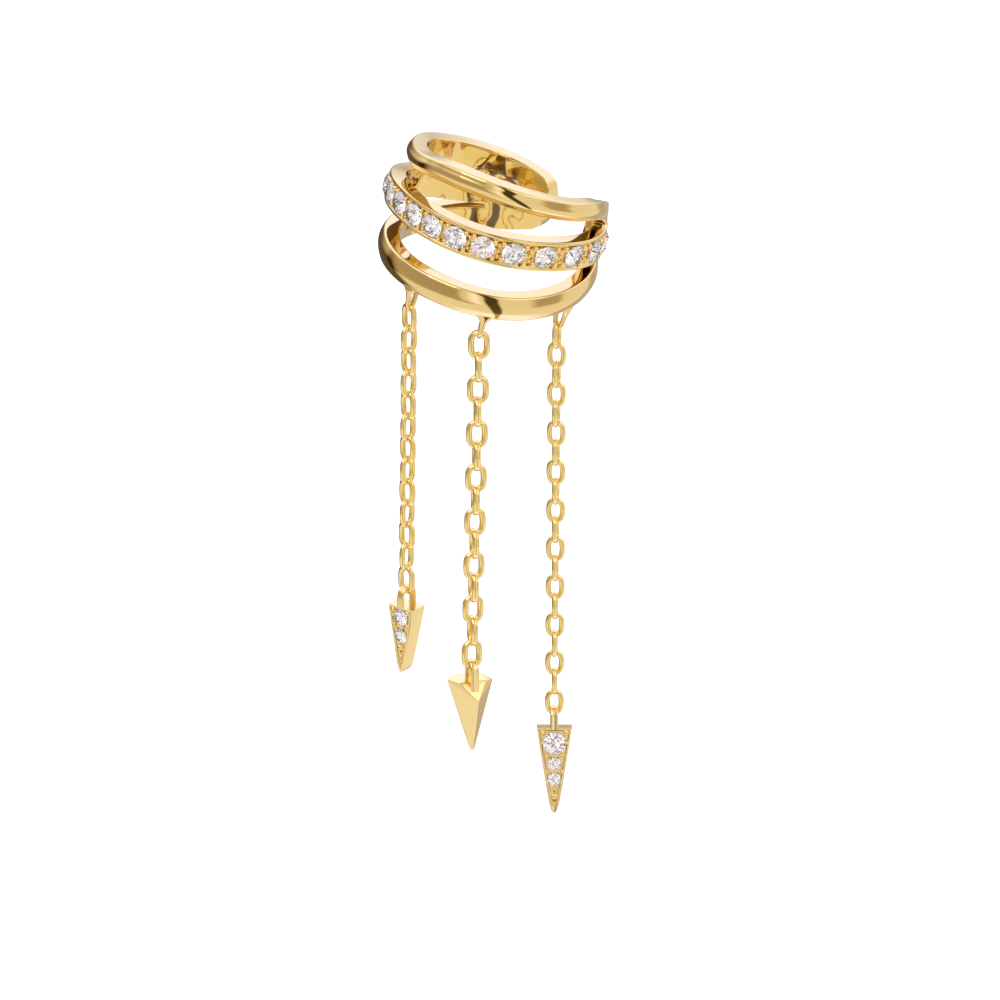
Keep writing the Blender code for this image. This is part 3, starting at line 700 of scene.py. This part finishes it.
def chain_tree():
    """Links strung down a line, each turned a step from the last. The end link hangs a little lower."""
    tree, given, out = tree_with_inputs("cable_chain", (
        ("Links", "Int"), ("Pitch", "Float"), ("Link Width", "Float"), ("Link Height", "Float"),
        ("Wire Width", "Float"), ("Wire Depth", "Float"), ("Oval", "Float"), ("First Turn", "Float"),
        ("Turn Step", "Float"), ("Top", "Vector"), ("Down", "Vector"), ("End Drop", "Float"),
        ("Metal", "Material"),
    ))
    slim = maths(tree, "MULTIPLY", maths(tree, "SUBTRACT", given["Link Width"], given["Wire Width"]), 0.5)
    tall = maths(tree, "MULTIPLY", maths(tree, "SUBTRACT", given["Link Height"], given["Wire Width"]), 0.5)
    hoop = node(tree, "GeometryNodeCurvePrimitiveCircle", {"Resolution": LINK_SIDES, "Radius": slim})
    place = node(tree, "GeometryNodeInputPosition").outputs[0]
    along = node(tree, "ShaderNodeSeparateXYZ", {0: place}).outputs[1]
    share = maths(tree, "POWER", maths(tree, "ABSOLUTE", maths(tree, "DIVIDE", along, slim)), given["Oval"])
    stretch = maths(tree, "MULTIPLY", maths(tree, "SUBTRACT", tall, slim), maths(tree, "SIGN", along))
    shift = node(tree, "ShaderNodeCombineXYZ", {1: maths(tree, "MULTIPLY", share, stretch)})
    oval = node(tree, "GeometryNodeSetPosition", {"Geometry": hoop.outputs[0], "Offset": shift.outputs[0]})
    round_wire = node(tree, "GeometryNodeCurvePrimitiveCircle", {"Resolution": WIRE_SIDES, "Radius": 0.5})
    size = node(tree, "ShaderNodeCombineXYZ", {0: given["Wire Width"], 1: given["Wire Depth"], 2: 1.0})
    wire = node(tree, "GeometryNodeTransform", {"Geometry": round_wire.outputs[0], "Scale": size.outputs[0]})
    lying = node(tree, "GeometryNodeCurveToMesh", {
        "Curve": oval.outputs[0], "Profile Curve": wire.outputs[0],
    })
    link = node(tree, "GeometryNodeTransform", {
        "Geometry": lying.outputs[0], "Rotation": (math.pi / 2, 0, 0),
    })
    step = node(tree, "ShaderNodeVectorMath", {0: given["Down"], "Scale": given["Pitch"]}, operation="SCALE")
    line = node(tree, "GeometryNodeMeshLine", {
        "Count": given["Links"], "Start Location": given["Top"], "Offset": step.outputs[0],
    })
    index = node(tree, "GeometryNodeInputIndex").outputs[0]
    last = maths(tree, "COMPARE", index, maths(tree, "SUBTRACT", given["Links"], 1.0), 0.5)
    drop = node(tree, "ShaderNodeCombineXYZ", {2: maths(tree, "MULTIPLY", given["End Drop"], -1.0)})
    hung = node(tree, "GeometryNodeSetPosition", {
        "Geometry": line.outputs[0], "Selection": last, "Offset": drop.outputs[0],
    })
    turn = maths(tree, "MULTIPLY_ADD", index, given["Turn Step"], given["First Turn"])
    placed = node(tree, "GeometryNodeInstanceOnPoints", {
        "Points": hung.outputs[0], "Instance": link.outputs[0],
        "Rotation": node(tree, "ShaderNodeCombineXYZ", {2: turn}).outputs[0],
    })
    real = node(tree, "GeometryNodeRealizeInstances", {"Geometry": placed.outputs[0]})
    metal = node(tree, "GeometryNodeSetMaterial", {"Geometry": real.outputs[0], "Material": given["Metal"]})
    tree.links.new(metal.outputs[0], out.inputs[0])
    return tree


CHAIN = chain_tree()
swing_axes = {}
for name, links, pitch, width, first_yaw, last_yaw, lean in CHAINS:
    low, edge = band(2, EYELETS[name])[1], band(2, EYELETS[name])[2]
    top = TILT @ around(EYELETS[name], edge - WALL / 2, low - EYELET_REACH)
    top += Vector((0, 0, EYELET_WIRE / 2 + LINK_GAP - (pitch - LINK_GRIP) / 2))
    down = Vector((-math.sin(math.radians(lean)), 0, -math.cos(math.radians(lean))))
    # what the quarter turns leave over is spread along the chain
    twist = (last_yaw - first_yaw - QUARTER * (links - 1) + QUARTER) % (2 * QUARTER) - QUARTER
    end_drop = LINK_GRIP + LINK_GAP
    wire_width, wire_depth, oval = WIRES[name]
    obj = grown(f"{name}_links", bpy.data.meshes.new(name), CHAIN, {
        "Links": links, "Pitch": pitch, "Link Width": width + FULLER,
        "Link Height": pitch - LINK_GRIP + 2 * LINK_WIRE + TALLER, "Wire Width": wire_width,
        "Wire Depth": wire_depth, "Oval": oval, "First Turn": math.radians(first_yaw),
        "Turn Step": math.radians(QUARTER + twist / (links - 1)), "Top": top, "Down": down,
        "End Drop": end_drop, "Metal": CHAIN_GOLD,
    })
    declare(obj, "cuff", [f"{name}_chain", f"{name}_end_link"])
    end = top + down * pitch * (links - 1)
    swing_axes[name] = end + Vector((0, 0, -end_drop - (pitch - LINK_GRIP + LINK_WIRE) / 2))

# The wedges: two small gold-plated castings that hang from the outer chains by a soldered bail. A raised
# border runs round a sunk floor on the front, which holds two or three stones between grains.
SOFT = gold("gold_soft", (0.96, 0.73, 0.30), 0.24, 0.02, 0.10)
FLOOR_SATIN = gold("gold_floor", (0.98, 0.76, 0.30), 0.34, 0.10, 0.80)
BAIL_RADIUS, BAIL_THICKNESS, BAIL_WIDTH = 0.57 * MM, 0.17 * MM, 0.38 * MM
BAIL_HEIGHT, BAIL_SLACK, BAIL_ROOT = 1.12 * MM, 0.10 * MM, 0.12 * MM
BAIL_FULLER, BEND_STEPS = 1.15, 10  # subdivision thins the strap, so its cage is fuller by this
FOOT_LOOP = 0.05 * MM
# through the thickness and across the width, round the strap
STRAP = ((1, 0.7), (0.5, 1), (-0.5, 1), (-1, 0.7), (-1, -0.7), (-0.5, -1), (0.5, -1), (1, -0.7))
SPIKE_TOP = LINK_WIRE / 2 + BAIL_SLACK + BAIL_THICKNESS - BAIL_HEIGHT
FACE_BORDER, FACE_RECESS = 0.15 * MM, 0.07 * MM
# name: yaw, lean of the face upwards, width, height, depth, (drop, diameter) of each stone
WEDGES = {
    "left": (-39, 0, 1.64 * MM, 3.74 * MM, 1.10 * MM, ((0.60 * MM, 0.92 * MM), (1.68 * MM, 0.78 * MM))),
    "right": (
        0, -14, 1.88 * MM, 4.60 * MM, 1.04 * MM,
        ((0.84 * MM, 1.20 * MM), (1.95 * MM, 0.69 * MM), (2.78 * MM, 0.69 * MM)),
    ),
}
# (side, drop, radius) of each grain, side as a share of the half width there
GRAINS = {
    "left": (
        (-0.62, 0.24, 0.11), (0.62, 0.24, 0.11), (-0.72, 0.55, 0.08), (0.70, 0.95, 0.09), (-0.66, 1.12, 0.10),
        (0.62, 1.16, 0.10), (0.0, 2.30, 0.14), (0.0, 2.80, 0.10),
    ),
    "right": (
        (-0.70, 0.26, 0.12), (0.70, 0.26, 0.12), (-0.80, 0.80, 0.07), (0.80, 0.80, 0.07), (-0.55, 1.50, 0.10),
        (0.55, 1.50, 0.10), (-0.70, 2.36, 0.09), (0.70, 2.36, 0.09), (0.0, 3.70, 0.13), (0.0, 3.28, 0.09),
    ),
}
WEDGE_SHARP = 35
THINNING = 0.30  # how far the back comes forward at the tip, as a share of the depth from the front
EDGE, EDGE_HOLD, FRONT_HOLD, FLOOR_HOLD = 0.03 * MM, 0.10 * MM, 0.08 * MM, 0.02 * MM
SEAT_HOLE_LENGTH = 0.05 * MM
BEAD_STAND, BEAD_SIZE = 0.03 * MM, 1.3
# each grain's pit: its radius and how far below the grain it lies, in the grain's radii, and its side
PIT_SIZE, PIT_DROP, PIT_SIDE = 0.75, 1.5, 0.45
# how far down, and half the width there as a share of the whole
TAPER = np.array((
    (0, 0.5), (0.30, 0.385), (0.60, 0.265), (0.86, 0.155), (0.95, 0.10), (0.985, 0.06), (1, 0.02),
))
DOWN_THE_SIDES = np.concatenate([np.linspace(0, 0.86, 12), np.linspace(0.89, 1, 7)])
ACROSS_THE_TOP = (-0.96, -0.5, 0, 0.5, 0.96)
NARROWEST, TIP_INSET = 0.3, 2.6  # how narrow an inset makes a side, and how far it lifts the tip


def wedge_outline(width, height, inset):
    """Points (x, z) round the face from the top left, its sides moved in by the inset."""
    halves = np.interp(DOWN_THE_SIDES, TAPER[:, 0], TAPER[:, 1]) * width
    right = [
        (max(half - inset, NARROWEST * half), -inset - down * (height - TIP_INSET * inset))
        for down, half in zip(DOWN_THE_SIDES, halves)
    ]
    top = [(x * right[0][0], -inset) for x in ACROSS_THE_TOP]
    return top + right + [(-x, z) for x, z in right[::-1]]


def bail(bm, foot):
    """A strap bent over the link's wire and rounded along its edges, with both ends at this height."""
    radius = BAIL_RADIUS - BAIL_THICKNESS / 2
    centre = LINK_WIRE / 2 + BAIL_SLACK + BAIL_THICKNESS / 2 - radius
    path = [Vector((0, -radius, foot)), Vector((0, -radius, foot + FOOT_LOOP))]
    for i in range(BEND_STEPS + 1):
        turn = math.pi * i / BEND_STEPS
        path.append(Vector((0, -radius * math.cos(turn), centre + radius * math.sin(turn))))
    path += [Vector((0, radius, foot + FOOT_LOOP)), Vector((0, radius, foot))]
    rings = []
    for i, point in enumerate(path):
        run = (path[min(i + 1, len(path) - 1)] - path[max(i - 1, 0)]).normalized()
        side = Vector((0, -run.z, run.y)) * BAIL_FULLER * BAIL_THICKNESS / 2
        across = Vector((BAIL_FULLER * BAIL_WIDTH / 2, 0, 0))
        rings.append([point + side * s + across * a for s, a in STRAP])
    ring_loft(bm, rings)


def soldered_bail(name, place, root):
    """The bail of this spike, with its ends this deep under the spike's top."""
    bm = bmesh.new()
    bail(bm, SPIKE_TOP - root)
    bmesh.ops.transform(bm, matrix=place, verts=bm.verts)
    piece(f"{name}_bail", bm, [SOFT], f"{name}_drop", levels=ROUNDING)


def spike_place(name, yaw, lean):
    """The spike's own frame: its origin on the swing's axis, its face towards -Y."""
    axis = Matrix.Translation(swing_axes[name])
    return axis @ Matrix.Rotation(math.radians(yaw), 4, "Z") @ Matrix.Rotation(math.radians(lean), 4, "X")


for name, (yaw, lean, width, height, depth, gems) in WEDGES.items():
    place = spike_place(name, yaw, lean)
    half = depth / 2
    # inset and y of each ring, from the back round to the sunk floor
    steps = (
        (EDGE_HOLD, half), (EDGE, half), (0, half - EDGE), (0, half - EDGE_HOLD),
        (0, -half + FRONT_HOLD), (0, -half + EDGE), (EDGE, -half), (FACE_BORDER - EDGE, -half),
        (FACE_BORDER, -half + EDGE), (FACE_BORDER + FLOOR_HOLD, -half + FACE_RECESS),
    )
    bm = bmesh.new()
    rings = []
    for inset, y in steps:
        rings.append([
            place @ Vector((x, y + min(y + half, depth) * THINNING * z / height, SPIKE_TOP + z))
            for x, z in wedge_outline(width, height, inset)
        ])
    ring_loft(bm, rings)
    for face in bm.faces:
        # the two ends have more than four corners, and the front one is the sunk floor
        if len(face.verts) > 4 and abs((place.inverted() @ face.calc_center_median()).y - half) > half:
            face.material_index = 1
    facing = Matrix.Rotation(math.pi / 2, 4, "X")
    cut = [
        (place @ Matrix.Translation(Vector((0, -half, SPIKE_TOP - drop))) @ facing, size / 2)
        for drop, size in gems
    ]
    obj = piece(f"{name}_wedge", bm, [SOFT, FLOOR_SATIN], sharp=WEDGE_SHARP)
    bm = bmesh.new()
    for where, radius in cut:
        seat(bm, where, radius, SEAT_HOLE_LENGTH)
    join_or_cut(obj, bm, "DIFFERENCE", WEDGE_SHARP)
    beads, pits = [], []
    for side, drop, radius in GRAINS[name]:
        half_width = float(np.interp(drop * MM / height, TAPER[:, 0], TAPER[:, 1])) * width
        level = SPIKE_TOP - drop * MM
        spot = Vector((side * half_width, -half + BEAD_STAND, level))
        beads.append((place @ Matrix.Translation(spot), BEAD_SIZE * radius * MM))
        beside = Vector((PIT_SIDE * side * half_width, -half + FACE_RECESS, level - PIT_DROP * radius * MM))
        pits.append((place @ Matrix.Translation(beside) @ facing, PIT_SIZE * radius * MM))
    join_or_cut(obj, graver_cuts(pits), "DIFFERENCE", WEDGE_SHARP)
    declare(obj, f"{name}_drop", [f"{name}_spike"])
    soldered_bail(name, place, BAIL_ROOT)
    grains(f"{name}_grains", beads, f"{name}_drop")
    nodes = [f"{name}_spike_stone_{i + 1}" for i in range(len(gems))]
    stones(f"{name}_wedge_stones", cut, f"{name}_drop", nodes)

# The plain spike: a gold-plated, three-sided cast point on the middle chain, with softly bevelled edges.
# A facet slopes off its top towards the ridge, and the soldered bail's front end runs down on to it.
POINT_YAW = 20
POINT_WIDTH, POINT_HEIGHT, POINT_DEPTH = 2.56 * MM, 4.10 * MM, 2.00 * MM
# side, towards the back and down, as shares of the half width, the half depth and the height
POINT_LEFT, POINT_RIGHT, POINT_RIDGE = (-1, 0.40, 0), (1, 0.30, 0.08), (0, -1, 0.23)
POINT_TOP = ((-0.5, 0.9, 0), (0.5, 0.9, 0), (-0.60, -0.16, 0.02), (0.60, -0.16, 0.03))
VANISHING = 1.12  # the three long edges run towards a point this far down, and stop on the tip
ONE_FACE, POINT_BEVELLED, POINT_SHARP = math.radians(4), math.radians(14), math.radians(9)
POINT_EDGE, EDGE_STEPS = 0.055 * MM, 4
FACET_ROOT = 0.78 * MM
place = spike_place("middle", POINT_YAW, 0)
corners = [POINT_LEFT, POINT_RIGHT, *POINT_TOP, POINT_RIDGE]
for x, y, drop in (POINT_LEFT, POINT_RIGHT, POINT_RIDGE):
    share = (VANISHING - 1) / (VANISHING - drop)
    corners.append((x * share, y * share, 1))
bm = bmesh.new()
verts = [
    bm.verts.new(Vector((x * POINT_WIDTH / 2, y * POINT_DEPTH / 2, SPIKE_TOP - drop * POINT_HEIGHT)))
    for x, y, drop in corners
]
bmesh.ops.convex_hull(bm, input=verts)
bmesh.ops.dissolve_limit(bm, angle_limit=ONE_FACE, verts=bm.verts, edges=bm.edges)
bmesh.ops.transform(bm, matrix=place, verts=bm.verts)
obj = piece("middle_point", bm, [SOFT])
bevel = obj.modifiers.new("edges", "BEVEL")
bevel.width = POINT_EDGE
bevel.segments = EDGE_STEPS
bevel.limit_method = "ANGLE"
bevel.angle_limit = POINT_BEVELLED
bevel.harden_normals = True
plain_mesh(obj)
obj.data.set_sharp_from_angle(angle=POINT_SHARP)
declare(obj, "middle_drop", ["middle_spike"])
soldered_bail("middle", place, FACET_ROOT)

# The studio: a pale floor far below the drops, a bright room with dark and light cards in it, which the
# polished metal reflects, and two lamps for sparkle.
FLOOR_DROP, FLOOR_HALF = 0.16, 12.0
FLOOR_WHITE, FLOOR_ROUGHNESS, FLOOR_GLOW = (0.9, 0.9, 0.89, 1), 0.9, 0.6
# name, place, size and power of each lamp
LAMPS = (("key", (-0.25, -0.30, 0.40), 0.30, 0.30), ("fill", (0.30, -0.25, 0.30), 0.30, 0.15))
ROOM_BELOW, ROOM_ABOVE, ROOM_DARKEST = 1.0, 0.85, 0.03
DEGREES = 180 / math.pi
bm = bmesh.new()
bmesh.ops.create_grid(bm, x_segments=1, y_segments=1, size=FLOOR_HALF)
floor = in_scene("floor", mesh_of("floor", bm))
floor.location.z = -FLOOR_DROP
white = bpy.data.materials.new("floor_white")
white.use_nodes = True
shader = white.node_tree.nodes["Principled BSDF"]
shader.inputs["Base Color"].default_value = FLOOR_WHITE
shader.inputs["Roughness"].default_value = FLOOR_ROUGHNESS
shader.inputs["Emission Color"].default_value = (1, 1, 1, 1)
shader.inputs["Emission Strength"].default_value = FLOOR_GLOW
floor.data.materials.append(white)
floor.visible_glossy = floor.visible_transmission = False

world = bpy.data.worlds.new("studio")
bpy.context.scene.world = world
world.use_nodes = True
tree = world.node_tree
tree.nodes.clear()
split = node(tree, "ShaderNodeSeparateXYZ", {0: node(tree, "ShaderNodeTexCoord").outputs["Generated"]})
azimuth = maths(tree, "MULTIPLY", maths(tree, "ARCTAN2", split.outputs[1], split.outputs[0]), DEGREES)
elevation = maths(tree, "MULTIPLY", maths(tree, "ARCSINE", split.outputs[2]), DEGREES)


def card(azimuth_at, half_width, elevation_at, half_height, soft):
    """1 inside a soft-edged patch of the room and 0 outside it, in degrees."""
    turn = maths(tree, "WRAP", maths(tree, "SUBTRACT", azimuth, azimuth_at), 180.0, -180.0)
    turn = maths(tree, "ABSOLUTE", turn)
    rise = maths(tree, "ABSOLUTE", maths(tree, "SUBTRACT", elevation, elevation_at))
    inside = []
    for away, half in ((turn, half_width), (rise, half_height)):
        inside.append(node(tree, "ShaderNodeMapRange", {
            0: away, 1: half + soft / 2, 2: half - soft / 2, 3: 0.0, 4: 1.0,
        }, interpolation_type="SMOOTHSTEP").outputs[0])
    return maths(tree, "MULTIPLY", *inside)


# brightness added by each patch: azimuth, half width, elevation, half height, softness, brightness
CARDS = (
    (-80, 7, -18, 66, 4, -0.84),
    (-102, 10, 6, 18, 8, 0.35),
    (128, 34, -28, 42, 26, -0.42),
    (-155, 54, 4, 24, 14, -0.44),
    (-24, 16, -4, 16, 14, -0.42),
    (-60, 12, 58, 9, 4, -0.95),
    (-134, 10, 44, 8, 4, -0.95),
    (20, 14, 60, 10, 4, -0.95),
    (98, 58, -28, 30, 16, -0.40),
    (90, 80, 36, 18, 20, 0.40),
    (-150, 30, 55, 20, 20, 0.4),
    (-90, 170, -74, 10, 16, 0.35),
)
room = node(tree, "ShaderNodeMapRange", {
    0: elevation, 1: -90.0, 2: 90.0, 3: ROOM_BELOW, 4: ROOM_ABOVE,
}).outputs[0]
for *where, brightness in CARDS:
    room = maths(tree, "MULTIPLY_ADD", card(*where), brightness, room)
room = maths(tree, "MAXIMUM", room, ROOM_DARKEST)
# the room's tint at each of these shares of its greatest brightness, and the bluish white where it is bright
BRIGHTEST = 1.5
TINTS = (
    (0.02, (1.0, 0.74, 0.42, 1)), (0.33, (1.0, 0.86, 0.66, 1)), (0.57, (1.0, 0.97, 0.93, 1)),
    (0.93, (1.0, 0.97, 1.0, 1)),
)
WHITE_FROM, WHITE_TO, BLUISH_WHITE = 0.95, 1.35, (1.0, 1.0, 1.45, 1)
tint = node(tree, "ShaderNodeValToRGB", {"Fac": maths(tree, "DIVIDE", room, BRIGHTEST)})
for stop, (position, colour) in enumerate(TINTS):
    element = tint.color_ramp.elements[stop] if stop < 2 else tint.color_ramp.elements.new(position)
    element.position, element.color = position, colour
white_share = node(tree, "ShaderNodeMapRange", {
    0: room, 1: WHITE_FROM, 2: WHITE_TO, 3: 0.0, 4: 1.0,
}).outputs[0]
light = node(tree, "ShaderNodeMix", {"Factor": white_share, "B": BLUISH_WHITE}, data_type="RGBA")
tree.links.new(tint.outputs["Color"], light.inputs["A"])
background = node(tree, "ShaderNodeBackground", {"Color": light.outputs["Result"], "Strength": room})
node(tree, "ShaderNodeOutputWorld", {"Surface": background.outputs[0]})

for name, place, size, power in LAMPS:
    lamp = bpy.data.lights.new(name, "AREA")
    lamp.size = size
    lamp.energy = power
    lamp = in_scene(name, lamp)
    lamp.location = place
    lamp.rotation_euler = (-Vector(place)).to_track_quat("-Z", "Y").to_euler()

# The camera: at the photo's angle, 23 degrees above the cuff and 320 mm away, with a long lens. Nothing is
# out of focus.
CAMERA_ELEVATION = math.radians(23)
CAMERA_DISTANCE = 320 * MM
TARGET = Vector((0.1, 0.0, -16.8)) * MM
LENS, SENSOR = 218.9, 36  # in mm, as Blender takes them
NEAREST, FARTHEST = 0.01, 20
camera = bpy.data.cameras.new("camera")
camera.lens = LENS
camera.sensor_width = SENSOR
camera.clip_start = NEAREST
camera.clip_end = FARTHEST
camera = in_scene("camera", camera)
back, up = -math.cos(CAMERA_ELEVATION), math.sin(CAMERA_ELEVATION)
camera.location = TARGET + CAMERA_DISTANCE * Vector((0, back, up))
camera.rotation_euler = (math.pi / 2 - CAMERA_ELEVATION, 0, 0)
bpy.context.scene.camera = camera
bpy.context.scene.view_settings.view_transform = "Standard"
